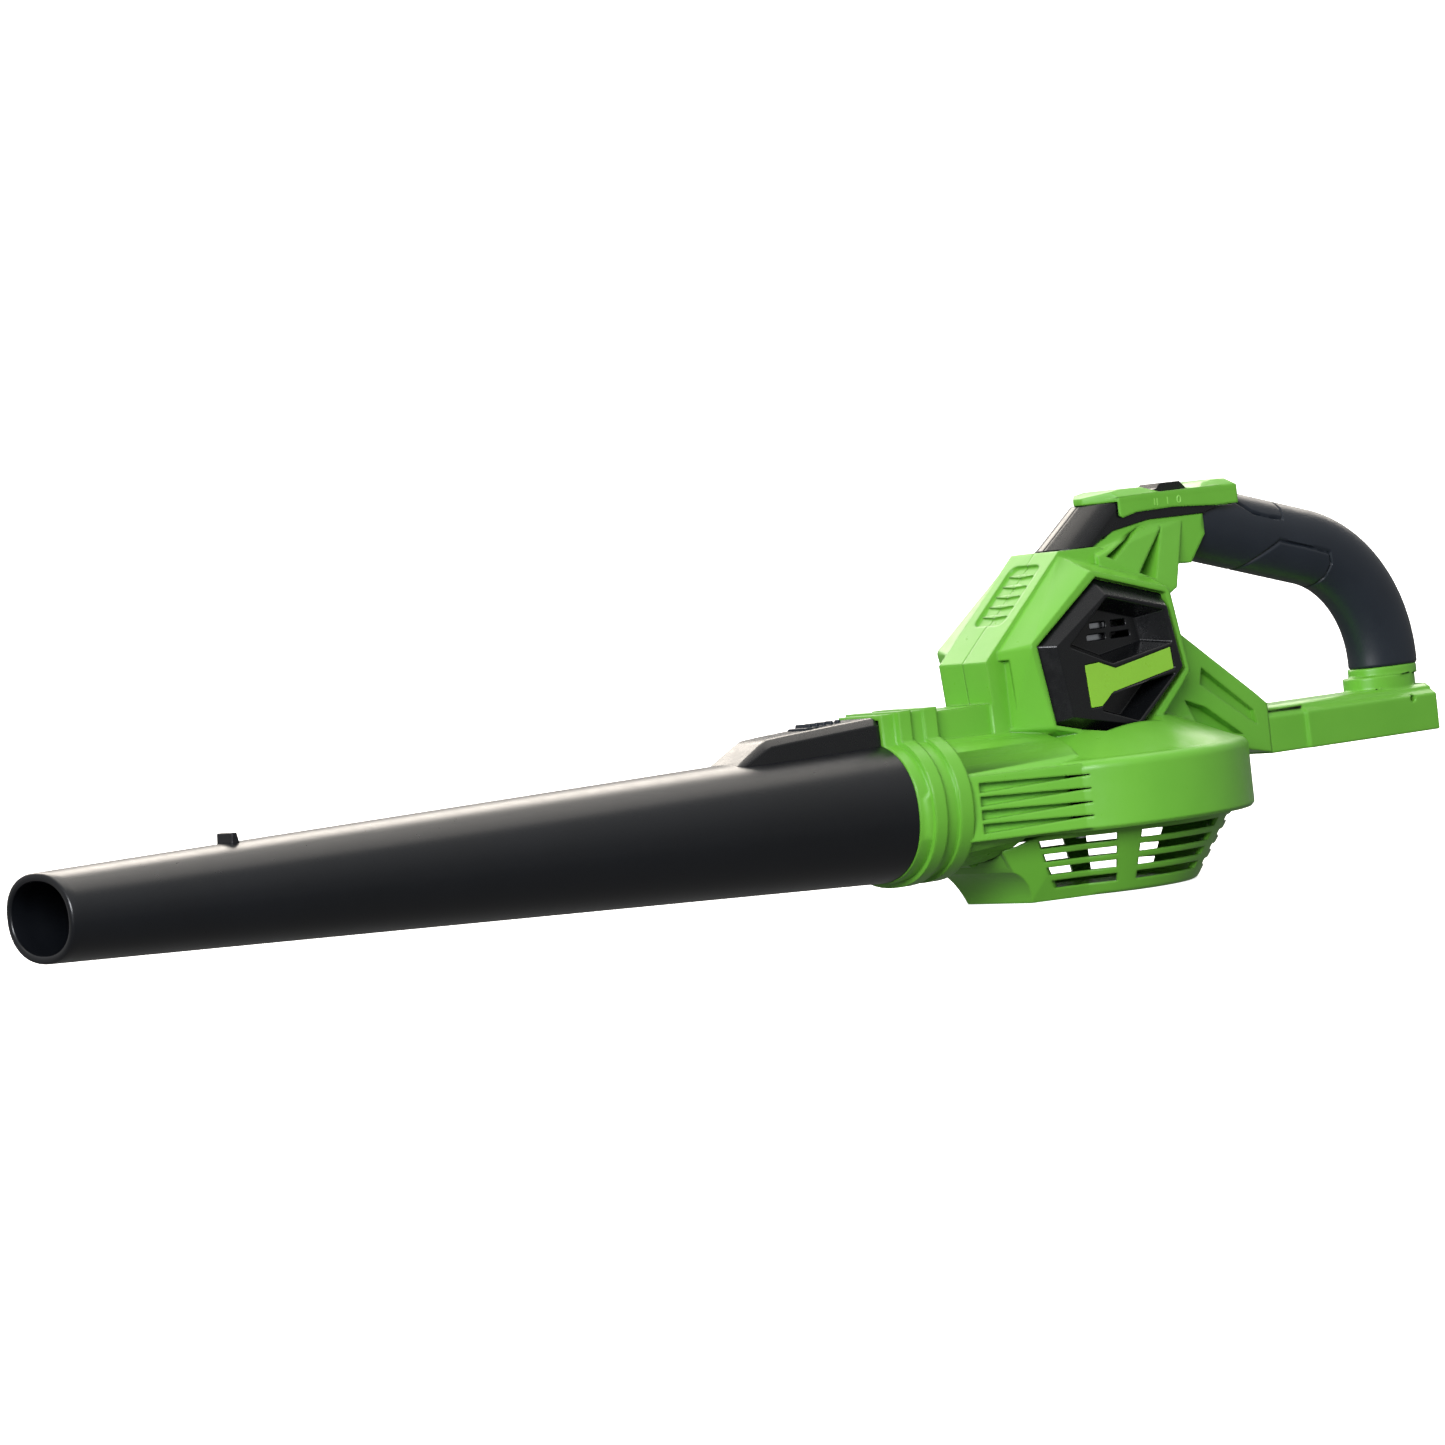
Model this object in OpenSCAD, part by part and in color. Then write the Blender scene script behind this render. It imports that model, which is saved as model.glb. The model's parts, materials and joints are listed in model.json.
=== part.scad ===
// Cordless garden leaf blower without its battery: fan drum with an intake cage under it,
// motor head above it, a loop handle over a battery rail, and a long oval blow tube.
// X runs from the blow tube's mouth (-X) to the handle (+X). Z is up. The origin is on the
// fan's axis, in the plane that the intake cage stands on. All sizes are in millimetres.

/* [Blow tube] */
// Length of the blow tube in front of the collar
tube_l = 559; // [450:1:675]
// Width of the oval mouth
mouth_w = 70.4; // [58:0.2:85]
// Height of the oval mouth
mouth_h = 49; // [40:0.2:59]
// Height of the mouth's centre above the duct's centre
mouth_rise = 10; // [0:1:14]
// Wall of the blow tube
tube_wall = 1.8; // [1.5:0.1:2.2]
// Length of the spigot that goes into the collar
spigot_l = 41; // [34:1:43]

/* [Duct] */
// Width of the blow tube at the collar
duct_w = 93.6; // [84:0.2:100]
// Height of the blow tube at the collar
duct_h = 83; // [74:0.2:88]
// Distance from the fan's axis to the collar's front
collar_x = 166; // [160:1:200]
// Height of the collar's top lobe above the duct's centre
lobe_h = 57; // [56:1:64]

/* [Fan case] */
// Radius of the fan drum
drum_r = 98; // [92:1:117]
// Height of the fan drum
drum_h = 42; // [36:1:51]
// Height of the intake cage under the drum
cage_h = 40; // [34:1:48]
// Radius of the intake cage where it stands
cage_r = 61; // [54:1:74]
// Height of one slot in the intake cage
slot_h = 4.6; // [3:0.1:5]
// Radius of the impeller
impeller_r = 80; // [66:1:84]
// Number of impeller blades
blades = 11; // [7:1:15]

/* [Head] */
// Half the width of the nose
nose_half = 22.5; // [19:0.5:27]
// Half the width over the two vent bosses
boss_half = 45; // [38:0.5:54]
// Radius of the motor can
motor_r = 28; // [23:0.5:29]

/* [Handle] */
// Height of the grip's section
grip_h = 46.6; // [40:0.2:54]
// Width of the grip's section
grip_w = 34.5; // [29:0.5:42]
// Thickness of the soft grip over its core
grip_skin = 3; // [2:0.1:4]
// Radius of the handle's bend
bend_r = 78.5; // [70:0.5:84]
// Travel of the switch knob between two of its three settings
switch_step = 9; // [7:0.5:9]

/* [Battery rail] */
// Half the width of the battery rail
rail_half = 25; // [22:0.5:30]
// Length of the battery rail
rail_l = 138; // [130:1:152]

/* [Walls and fits] */
// Wall of the green housing
wall = 2.8; // [2:0.1:3.2]
// Gap round pieces that slide or lift out
gap = 0.4; // [0.3:0.05:0.5]
// Gap between the motor shaft and its bearings
running = 0.03; // [0.02:0.01:0.08]
// Radius of the motor shaft
shaft_r = 3; // [2.5:0.1:4]

/* [Hidden] */

green = "#6db33f";
lime = "#82b732";
black = "#17191d";
rubber = "#23272d";

big = 600;                                   // reach of a cut that must clear everything
drum_top = cage_h + drum_h;                  // top edge of the drum's side
dome_h = 18;                                 // rise of the drum's lid to the head
head_z = drum_top + dome_h;                  // datum of everything in the head and handle
duct_z = cage_h + drum_h / 2 + 3.5;          // height of the duct's centre line
cage_top_r = drum_r - 13;                    // cage radius under the drum
dw = duct_w / 2;
dh = duct_h / 2;
fine = 96;                                   // facets of a full round surface

// ---------- outlines ----------
function arc(cx, cy, r, a0, a1, n = 8) =
    [for (i = [0:n]) let (a = a0 + (a1 - a0) * i / n) [cx + r * cos(a), cy + r * sin(a)]];
function power(v, e) = sign(v) * pow(abs(v), e);
// Oval of half-width a and half-height b, a little squarer than an ellipse
function oval(a, b, e = 0.9, n = 48) =
    [for (i = [0:n - 1]) let (t = 360 * i / n) [a * power(cos(t), e), b * power(sin(t), e)]];

// ---------- placing ----------
// An outline in X and Z, extruded in Y from y0 to y1
module prism_y(points, y0, y1) {
    translate([0, y1, 0]) rotate([90, 0, 0]) linear_extrude(y1 - y0) polygon(points);
}
// An outline in Y and Z, extruded in X from x0 to x1
module prism_x(x0, x1) {
    translate([x0, 0, 0]) rotate([90, 0, 90]) linear_extrude(x1 - x0) children();
}
// Skin between two ovals, each given as [x, half-width, half-height, z of its middle]
module loft(p, q, n = 48) {
    points = [for (s = [p, q], o = oval(s[1], s[2], 0.9, n)) [s[0], o[0], s[3] + o[1]]];
    polyhedron(points, concat(
        [for (k = [0:n - 1]) let (m = (k + 1) % n) each [[k, n + k, m], [m, n + k, n + m]]],
        [[for (k = [0:n - 1]) k], [for (k = [n - 1:-1:0]) n + k]]), 4);
}
module rod_y(x, z, r, y0, y1) {
    translate([x, y1, z]) rotate([90, 0, 0]) cylinder(r = r, h = y1 - y0, $fn = 32);
}
// A round bar between two points of the X-Z plane, at depth y
module bar(p, q, r, y = 0) {
    d = q - p;
    translate([p[0], y, p[1]]) rotate([0, 90 - atan2(d[1], d[0]), 0])
        cylinder(r = r, h = norm(d), $fn = 24);
}
module up() { translate([0, 0, head_z]) children(); }
module left_half() {
    intersection() {
        children();
        translate([-big, -big, -1]) cube([2 * big, big, big]);
    }
}

// ---------- fan drum ----------
drum_round = 6;
eye_r = drum_r - 26;                         // hole in the drum's floor
module drum_solid(inset = 0) {
    r = drum_r - inset;
    z0 = cage_h + inset;
    z1 = drum_top - inset;
    rr = drum_round - inset * 0.8;
    rotate_extrude($fn = fine) polygon(concat(
        [[0, z0], [r - 2, z0], [r, z0 + 2]],
        arc(r - rr, z1 - rr, rr, 0, 90),
        [[52 - inset, z1 + dome_h], [0, z1 + dome_h]]));
}

// ---------- duct and collar ----------
flare_x = collar_x - 38;                     // where the duct starts to widen
flare_end = 58;
module duct_solid(grow = 0) {
    loft([-flare_x - 1, dw - 0.8 + grow, dh - 0.8 + grow, duct_z],
        [-flare_end, drum_r * 0.74 + grow, 36 + grow, duct_z + 1.5]);
}
// Collar section: the oval with a square lobe over the latch
module collar_band(x0, x1, grow, lobe) {
    translate([0, 0, duct_z]) prism_x(-collar_x + x0, -collar_x + x1) union() {
        polygon(oval(dw + grow, dh + grow));
        translate([-lobe, 0]) square([2 * lobe, lobe_h + (grow > 2 ? 1 : 0)]);
    }
}
collar_bands = [[0, 36, 0.8, 20.5], [9, 18, 3.8, 25.5], [12, 34, 1.2, 23], [28, 38, 3.4, 24.5]];
nose_x = 84;                                 // front of the nose at its foot
latch_half = 16.5;
latch_top = duct_z + lobe_h - 3.4;           // top of the tube's tongue inside the lobe

module collar_outer() {
    for (b = collar_bands) collar_band(b[0], b[1], b[2], b[3]);
    translate([-flare_x - 4, -19, duct_z]) cube([flare_x - nose_x + 8, 38, lobe_h - 2]);
}
module collar_inner() {
    // socket for the tube's spigot
    translate([0, 0, duct_z]) prism_x(-collar_x - 1, -collar_x + spigot_l + 1)
        polygon(oval(dw - 3, dh - 3));
    // pocket for the latch tongue
    translate([-collar_x - 1, -latch_half - gap, duct_z])
        cube([34 + 1, 2 * (latch_half + gap), lobe_h - 3]);
    loft([-collar_x + spigot_l, dw - 4.6, dh - 4.6, duct_z],
        [-flare_end, dw - 3.4, 36 - wall, duct_z + 1.5]);
}
// Side of the duct that runs flat into the drum, with four blind slots that narrow to points
gill_n = 4;
gill_pitch = 8;
gill_slot = 5.8;
gill_deep = 5.4;
gill_z = duct_z - 18.5;
gill_a = [-flare_x - 2, -dw + 1.5];
gill_b = [-64, -74];
gill_l = norm(gill_b - gill_a);
module gills() {
    d = gill_b - gill_a;
    for (i = [0:gill_n - 1])
        translate([gill_a[0], gill_a[1], gill_z + i * gill_pitch]) rotate([0, 0, atan2(d[1], d[0])])
            translate([0, gill_deep, 0]) rotate([90, 0, 0]) linear_extrude(30)
                polygon([[9, 0], [9, gill_slot], [gill_l + 4, gill_slot * 0.62],
                    [gill_l + 4, gill_slot * 0.5]]);
}
module gill_side() {
    translate([0, 0, gill_z - 4]) linear_extrude(gill_n * gill_pitch + 6)
        polygon([gill_a + [-1, 6], gill_a, gill_b, [-60, -60], [-80, -40]]);
}

// ---------- head ----------
nose_outline = [[-nose_x, -14], [-nose_x, 19], [-86, 44], [-22, 104], [8, 104], [42, 92],
    [50, 68], [54, 30], [42, -14]];
nose_inner = [[-80, -16], [-80, 19], [-82, 42], [-21, 99.5], [6, 99.5], [38, 88],
    [45, 66], [49, 29], [38, -16]];
boss_base = [[-74, 2], [-77, 49], [-23, 101], [41, 84], [52, 24], [8, -20], [-58, -8]];
bezel = [[-18.2, 90.5], [41.8, 75], [51.2, 24], [11.3, -15], [-57.7, 0.5], [-69.7, 50.8]];
bezel_inner = [[-17.7, 82], [35.3, 69], [43.3, 27], [9.3, -6], [-49.7, 8], [-60.7, 49]];
panel_outline = [[-10.5, 86.9], [42.2, 72.6], [51.6, 25.7], [10.2, -11.9], [-51.9, 2.6], [-60.5, 50.3]];
panel_shift = -4;                            // panel outline, moved to sit inside the bezel
field_outline = [[-11.6, 75.9], [34.9, 64.5], [42.2, 27.8], [4.8, -4], [-45, 6], [-52.6, 49]];
panel_y = boss_half - 5;                     // outer rim of the vent panel
field_y = boss_half + 4;                     // its proud face

function shifted(points, dx) = [for (p = points) [p[0] + dx, p[1]]];
// Outline moved towards its own middle by the share s
function shrunk(points, s) = let (n = len(points),
    c = [for (k = [0:1]) [for (p = points) p[k]] * [for (p = points) 1] / n])
    [for (p = points) c + (p - c) * s];
// Corner posts of radius r round an outline, for a hull with round corners
module posts(points, r, y0, y1) {
    for (p = points) rod_y(p[0], p[1], r, y0, y1);
}
module head_outer() {
    up() {
        prism_y(nose_outline, -nose_half, 0);
        hull() {
            prism_y(boss_base, -nose_half - 0.5, -nose_half);
            posts(shrunk(bezel, 0.92), 4, -boss_half, -boss_half + 0.5);
        }
    }
}
module head_groove() {
    up() translate([-100, -nose_half - 7, 4]) cube([28, 7, 40]);
}
module head_inner() {
    up() {
        prism_y(nose_inner, -nose_half + wall, 0.1);
        prism_y(bezel_inner, -panel_y + 3, 0.1);
        prism_y(shifted(panel_outline, panel_shift), -boss_half - 10, -panel_y);
        prism_y(shrunk(field_outline, 0.97), -boss_half - 10, 0);
    }
    // room for the motor and the seat of its plate
    translate([0, 0, can_z - 0.1]) cylinder(r = motor_r + 1, h = can_h + cap_h, $fn = fine);
    translate([0, 0, plate_z - 0.1]) cylinder(r = plate_r + 0.3, h = can_z - plate_z + 0.2, $fn = fine);
}
// Louvre panel sunk in the nose's sloping face, with ribs across it
louvre_n = 5;
louvre_half = 14;
louvre_x = [30, 78];                         // where the panel starts and ends along the slope
module louvre(cut) {
    depth = 1.5;
    pitch = (louvre_x[1] - louvre_x[0]) / (louvre_n + 1);
    up() translate([-86, 0, 44]) rotate([0, -atan2(60, 64), 0]) {
        if (cut) translate([0, 0, -depth]) linear_extrude(10) polygon(concat(
            arc(louvre_x[0] + 5, -louvre_half + 5, 5, 180, 270, 5),
            arc(louvre_x[1] - 5, -louvre_half + 5, 5, 270, 360, 5),
            [[louvre_x[1], 0.1], [louvre_x[0], 0.1]]));
        else for (i = [1:louvre_n]) translate([louvre_x[0] + i * pitch - 1.3, 0, -depth - 0.3])
            linear_extrude(depth - 0.1) polygon([[0, 0], [1.3, -louvre_half + 2.5], [2.6, 0]]);
    }
}

// ---------- handle ----------
grip_a = grip_h / 2;
grip_b = grip_w / 2;
tilt = 15;                                   // fall of the straight stretch of the grip
line_x = 115;                                // a point that the grip's centre line runs through
line_z = 108.2;
bend_x = 188;                                // where the bend starts
bend_z = line_z - tan(tilt) * (bend_x - line_x);
bend_c = [bend_x - bend_r * sin(tilt), bend_z - bend_r * cos(tilt)];
post_x = bend_c[0] + bend_r;                 // centre of the handle's rear post
grip_start = 96;
foot_z = 8.5;                                // where the soft grip ends on the foot
// Stations along the handle from x0 to the foot: x, z and the slope of the path
bend_steps = 12;
function handle_path(x0, z_end) = concat(
    [[x0, line_z - tan(tilt) * (x0 - line_x), tilt]],
    [for (i = [0:bend_steps]) let (h = tilt + (90 - tilt) * i / bend_steps)
        [bend_c[0] + bend_r * sin(h), bend_c[1] + bend_r * cos(h), h]],
    [[post_x, z_end, 90]]);
// A section swept along the handle as one closed skin; ends lists the faces of its flat ends
module sweep(section, ends, x0, z_end) {
    path = handle_path(x0, z_end);
    last = len(path) - 1;
    n = len(section);
    points = [for (p = path, q = section)
        [p[0] + q[1] * sin(p[2]), q[0], p[1] + q[1] * cos(p[2])]];
    sides = [for (i = [0:last - 1], k = [0:n - 1]) let (m = (k + 1) % n, r = i * n)
        each [[r + k, r + n + k, r + m], [r + m, r + n + k, r + n + m]]];
    caps = [for (e = ends) each [e, [for (k = [len(e) - 1:-1:0]) last * n + e[k]]]];
    up() polyhedron(points, concat(sides, caps), 4);
}
// Tube of half-height a and half-width b
module handle_tube(a, b, x0, z_end) {
    n = 36;
    sweep(oval(b, a, 0.9, n), [[for (k = [0:n - 1]) k]], x0, z_end);
}
// The left half of a tube's section, for y up to 0
core_n = 12;
function half_section(a, b, t, n = core_n) = concat(
    [for (i = [0:n]) let (w = 90 + 180 * i / n) [b * power(cos(w), 0.9), a * power(sin(w), 0.9)]],
    [for (i = [n:-1:0]) let (w = 90 + 180 * i / n)
        [(b - t) * power(cos(w), 0.9), (a - t) * power(sin(w), 0.9)]]);
// Room for the front end of the grip, which is straight there
module handle_cut() {
    up() translate([grip_start, 0, line_z - tan(tilt) * (grip_start - line_x)])
        rotate([0, 90 + tilt, 0]) translate([0, 0, -0.05]) linear_extrude(70)
            polygon([for (p = oval(grip_b + 0.05, grip_a + 0.05, 0.9, 36)) [-p[1], p[0]]]);
}
web_outline = [[4, 98], [8, 104.3], [25, 112], [52.7, 116.4], [97, 116.4], [97, 104],
    [84, 87.5], [72, 88.3], [63, 74], [34, 82]];
module web_outer() {
    up() {
        prism_y(web_outline, -18, 0);
        hull() {
            prism_y([[4, 98], [34, 84], [63, 74], [48, 66], [6, 88]], -27, 0);
            prism_y([[6, 102], [54, 114], [80, 114], [74, 92]], -18, 0);
        }
    }
}
module web_pockets() {
    up() for (pocket = [[[11, 97.5], [47, 114], [17, 95]], [[35, 85.5], [62, 112], [47.5, 80.5]]])
        prism_y(pocket, -40, -11);
}
module arm_outer() {
    up() hull() {
        prism_y([[44, 60], [74, 36], [78, 2], [40, -10]], -26, 0);
        prism_y([[120, 3.5], [128, -3.3], [128, -33], [112, -30]], -rail_half + 2, 0);
    }
}
// Tongue of the rail, held between the two halves of the arm
module tongue(grow) {
    up() translate([rail_x0 - 14 - grow, -8 - grow, rail_bottom + 9 - grow])
        cube([15 + grow, 16 + 2 * grow, 10 + 2 * grow]);
}
module arm_pocket() {
    up() {
        prism_y([[76, 24], [116, -6], [118, -15], [74, 14]], -40, -20);
        prism_y([[60, 6], [76, 0], [106, -20], [70, -12]], -40, -18);
    }
}
rail_x0 = 128;
rail_x1 = rail_x0 + rail_l;
rail_top = -5;
rail_bottom = -34;
rail_step = 30;                              // where the rail's thicker rear part starts
module rail_outer() {
    shoulder = 6.5;
    up() for (side = [0, 1]) mirror([0, side, 0]) {
        prism_x(rail_x0 + 0.05, rail_x1) polygon([[-rail_half + 2.5, rail_bottom],
            [0.01, rail_bottom], [0.01, rail_top], [-rail_half + 9, rail_top],
            [-rail_half + 5, rail_top - 2], [-rail_half + 5, rail_top - 5],
            [-rail_half + 2.5, rail_top - 7]]);
        prism_x(rail_x0 + rail_step, rail_x1) polygon([[-rail_half, rail_bottom],
            [0.01, rail_bottom], [0.01, rail_top], [-rail_half + 10, rail_top],
            [-rail_half, rail_top - shoulder]]);
    }
}
bay_half = 18;
bay_x0 = rail_x0 + 10;
bay_top = rail_bottom + 11;
module rail_bay() {
    up() {
        translate([bay_x0, -bay_half, rail_bottom - 1]) cube([big, 2 * bay_half, 12]);
        translate([bay_x0, -bay_half - 3, bay_top - 6]) cube([big, 2 * bay_half + 6, 4]);
    }
}
module foot_outer() {
    up() {
        translate([post_x - 1, 0, 3]) linear_extrude(foot_z - 3 - 0.05) polygon(oval(grip_a, grip_b));
        translate([post_x - 4.5, 0, rail_top - 3]) linear_extrude(6 - rail_top)
            polygon(oval(grip_a + 1, grip_b + 1));
    }
}
module battery_rail() color(green) difference() {
    union() {
        rail_outer();
        foot_outer();
        tongue(0);
    }
    rail_bay();
    lead_ways();
    for (p = screw_places) rod_y(p[0], p[1], screw_r + 0.2, -big, big);
    rod_y(rail_screw[0], rail_screw[1], 3.6, 10, big);
}
core_a = grip_a - grip_skin;
core_b = grip_b - grip_skin;

// ---------- housing screws: x, z over the base, depth of the boss ----------
screw_r = 1.75;
rail_screw = [rail_x1 - 20, head_z - 13];
screw_places = [[-104, duct_z + 47], [-70, head_z + 36], [12, head_z + 92],
    [66, head_z + 102], [88, head_z + 4], [rail_x0 - 7, head_z + rail_bottom + 14],
    rail_screw, [-105, duct_z - 34.5]];
module screw_bosses() {
    for (p = [screw_places[1], screw_places[2]]) rod_y(p[0], p[1], 4.6, -nose_half + 1, 0);
    rod_y(screw_places[7][0], screw_places[7][1], 5, -14, 0);
}

module half_shell() {
    left_half() difference() {
        union() {
            drum_solid();
            duct_solid();
            gill_side();
            collar_outer();
            head_outer();
            web_outer();
            arm_outer();
        }
        drum_solid(wall);
        collar_inner();
        head_inner();
        handle_cut();
        translate([0, 0, -1]) cylinder(r = eye_r, h = cage_h + 2 + wall, $fn = fine);
        translate([0, 0, -1]) cylinder(r = drum_r + 5, h = 1 + cage_h, $fn = fine);
        gills();
        head_groove();
        louvre(true);
        web_pockets();
        arm_pocket();
        tongue(0.1);
        lead_ways();
        switch_bay();
    }
    left_half() louvre(false);
}
// Ways for the leads through the web and the arm
way_top = [62, head_z + 113];
board_x = 35;
way_mid = [board_x, head_z + 52];
way_low = [board_x, head_z + 20];
way_end = [bay_x0 + 3, head_z - 17];
module lead_ways() {
    bar(way_top, way_mid, 4);
    bar(way_low, way_end, 4);
}
switch_y = 9;
module switch_bay() {
    up() translate([48, -switch_y - gap, 109]) cube([42, switch_y + gap + 0.1, 20]);
}

module at_cage_screws() {
    for (a = [45:90:315]) rotate([0, 0, a]) translate([cage_top_r - 8, 0, cage_h]) children();
}
module cage_holes() { at_cage_screws() translate([0, 0, -8]) cylinder(r = 1.6, h = 14, $fn = 24); }

module handle_core() sweep(half_section(core_a, core_b, wall),
    [for (k = [0:core_n - 1]) [k, k + 1, 2 * core_n - k, 2 * core_n + 1 - k]], grip_start, foot_z);
module left_handle_core() color(green) handle_core();
module right_handle_core() color(green) mirror([0, 1, 0]) handle_core();

module left_housing() color(green) {
    difference() {
        union() {
            half_shell();
            screw_bosses();
        }
        for (p = screw_places) rod_y(p[0], p[1], screw_r, -13, 1);
        cage_holes();
    }
}
module right_housing() color(green) mirror([0, 1, 0]) {
    difference() {
        union() {
            half_shell();
            screw_bosses();
        }
        for (p = screw_places) {
            rod_y(p[0], p[1], screw_r + 0.2, -30, 1);
            rod_y(p[0], p[1], 3.6, -big, -10);
        }
        cage_holes();
    }
}

// ---------- intake cage ----------
chin_front = 104;
windows = [[-149.7, -119.6], [-109.1, -65.3], [-54.4, -16], [16, 54.4], [65.3, 109.1],
    [119.6, 149.7]];
slot_rows = [for (i = [0:3]) cage_h * 0.86 - i * cage_h * 0.205];
module cage_solid(inset = 0) {
    rotate_extrude($fn = fine) polygon(concat([[0, inset], [cage_r - 5 - inset, inset]],
        arc(cage_r - 5 - inset, 5 + inset, 5, -90, -30, 5),
        [[cage_top_r - inset, cage_h], [0, cage_h]]));
}
module chin_solid(inset = 0) {
    difference() {
        hull() {
            translate([0, 0, inset]) cylinder(r = cage_r - 9 - inset, h = 1, $fn = 64);
            translate([-78, -30 + inset, inset]) cube([10, 60 - 2 * inset, 1]);
            translate([0, 0, cage_h - 1]) cylinder(r = cage_top_r - 22 - inset, h = 1, $fn = 64);
            translate([-chin_front, 0, cage_h - 1]) linear_extrude(1)
                polygon([[0, -dw + 9 + inset], [40, -dw - 12 + inset],
                    [40, dw + 12 - inset], [0, dw - 9 - inset]]);
        }
        // concave front under the duct
        rod_y(-104, -4, 27 + inset, -big, big);
    }
}
module intake_cage() color(green) difference() {
    union() {
        difference() {
            union() {
                cage_solid();
                chin_solid();
            }
            cage_solid(wall);
            chin_solid(wall);
            translate([0, 0, cage_h - 0.05]) cylinder(r = big, h = 5, $fn = 16);
            duct_solid(0.1);
        }
        // flange under the drum's floor
        ring(eye_r - 5, cage_top_r - 2, cage_h - 2.4, 2.35);
    }
    for (z = slot_rows, w = windows)
        rotate([0, 0, w[0]]) rotate_extrude(angle = w[1] - w[0], $fn = fine)
            translate([cage_r - 16, z - slot_h / 2]) square([50, slot_h]);
    // floor slots in three rings
    for (ring = [0:2], k = [0:5])
        rotate([0, 0, k * 60 + 5]) rotate_extrude(angle = 50, $fn = fine)
            translate([20 + ring * 10, -1]) square([5, wall + 2]);
    cage_holes();
}
module cage_screws() color("silver") at_cage_screws() {
    translate([0, 0, -3]) cylinder(r = 1.58, h = wall + 4, $fn = 24);
    translate([0, 0, -4.4]) cylinder(r = 3, h = 1.95, $fn = 24);
}
// Bell-mouth ring that leads the air from the cage into the impeller's eye
module inlet_ring() color(black) rotate_extrude($fn = fine) polygon(concat(
    [[eye_r - 0.3, cage_h], [eye_r - 0.3, cage_h + 2.2], [58, cage_h + 2.2]],
    arc(58, cage_h + 8, 5.8, -90, -180, 6), [[50.8, cage_h + 8]],
    arc(58, cage_h + 8, 7.8, -180, -90, 6)));

// ---------- blow tube with its latch ----------
mouth_x = -collar_x - tube_l;
lip_wall = 4.4;                              // wall at the mouth, behind which it slopes away
lip_l = 12;
module tube_run(inset, over = 0, start = 0) {
    loft([mouth_x + start, mouth_w / 2 - inset, mouth_h / 2 - inset, duct_z + mouth_rise],
        [-collar_x - 0.4 + over, dw - inset, dh - inset, duct_z]);
}
ramp_l = 27;                                 // length of the latch housing's front ramp
latch_l = 106;                               // length of the latch housing
latch_high = duct_z + lobe_h - 1;            // top of the latch housing at the collar
module latch_housing() {
    x0 = -collar_x - latch_l;
    x1 = -collar_x - 0.4;
    z0 = duct_z + 34;
    hull() {
        prism_y([[x0, z0], [x0, z0 + 3], [x0 + ramp_l, latch_high - 4], [x1, latch_high],
            [x1, z0 - 6]], -latch_half + 3, latch_half - 3);
        prism_y([[x0 + 4, z0 - 2], [x0 + ramp_l, latch_high - 8], [x1, latch_high - 4],
            [x1, z0 - 8]], -latch_half - 2, latch_half + 2);
    }
    translate([-collar_x - 1, -latch_half, duct_z + 33])
        cube([31, 2 * latch_half, latch_top - duct_z - 33]);
}
button_x = -collar_x - 30;                   // middle of the latch button
button_l = 36;
button_half = 9;
button_z = latch_high - 0.6;                 // top of the button's pad
well_z = duct_z + 45.5;                      // floor of the button's well
tail_z = latch_top - 5.4;                    // underside of the button's tail
tail_h = 3;
latch_travel = 3;
module nozzle_tube() color(black) {
    difference() {
        union() {
            difference() {
                union() {
                    tube_run(0);
                    latch_housing();
                }
                // well for the button, and a tunnel for its tail
                translate([button_x - button_l / 2 - gap, -button_half - gap, well_z])
                    cube([button_l + 2 * gap, 2 * (button_half + gap), 40]);
                translate([button_x, -4 - gap, tail_z - latch_travel - gap])
                    cube([big, 8 + 2 * gap, latch_travel + tail_h + 2 * gap]);
            }
            translate([0, 0, duct_z]) prism_x(-collar_x - 1, -collar_x + spigot_l - 1)
                polygon(oval(dw - 3 - gap, dh - 3 - gap));
            translate([mouth_x + 119, -8, duct_z + mouth_rise + mouth_h / 2 - 1])
                prism_y([[0, 0], [0.8, 7], [4.2, 7], [6, 0]], 0, 16);
        }
        tube_run(tube_wall, 1, lip_l);
        loft([mouth_x - 1, mouth_w / 2 - lip_wall, mouth_h / 2 - lip_wall, duct_z + mouth_rise],
            [mouth_x + lip_l + 1, mouth_w / 2 - tube_wall, mouth_h / 2 - tube_wall,
            duct_z + mouth_rise]);
        translate([0, 0, duct_z]) prism_x(-collar_x - 1, -collar_x + spigot_l)
            polygon(oval(dw - 3 - gap - tube_wall, dh - 3 - gap - tube_wall));
    }
}
module latch_button() color(rubber) {
    translate([button_x - button_l / 2, -button_half, button_z - 3])
        cube([button_l, 2 * button_half, 3]);
    for (i = [0:4]) translate([button_x - 9 + i * 4.5, -7.5 + i * 1.1, button_z - 0.5])
        cube([1.8, 15 - i * 2.2, 1.5]);
    translate([button_x + 8, -4, tail_z]) cube([8, 8, button_z - 2 - tail_z]);
    translate([button_x + 8, -4, tail_z]) cube([button_l / 2 + 26, 8, tail_h]);
}
// V-shaped leaf between the well's floor and the button's pad
module latch_spring() color("silver") {
    h = button_z - 3 - well_z;
    translate([button_x - 15, 0, well_z]) prism_y([[0, 0], [16, 0], [16, 0.5], [2, 0.5],
        [2, 0.8], [16, h - 0.5], [16, h], [14.5, h], [0, 1.2]], -3, 3);
}

// ---------- vent panels ----------
upper_recess = [[-10.9, 74], [32.3, 62.6], [36.3, 42.5], [-11.1, 34.5], [-43.2, 47.5]];
lower_recess = [[36.5, 24.5], [4.7, -1.2], [-23.2, 7.6], [-14, 16.8]];
label_outline = [[-33.1, 35.8], [-22.2, 36.5], [-9.6, 31.8], [34.8, 40.1], 
   [36, 27], [-13.1, 17.7], [-23, 10.1], [-31.4, 9.9]];
recess_y = motor_r + 4;                      // floor of the recesses, just outside the motor
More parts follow.
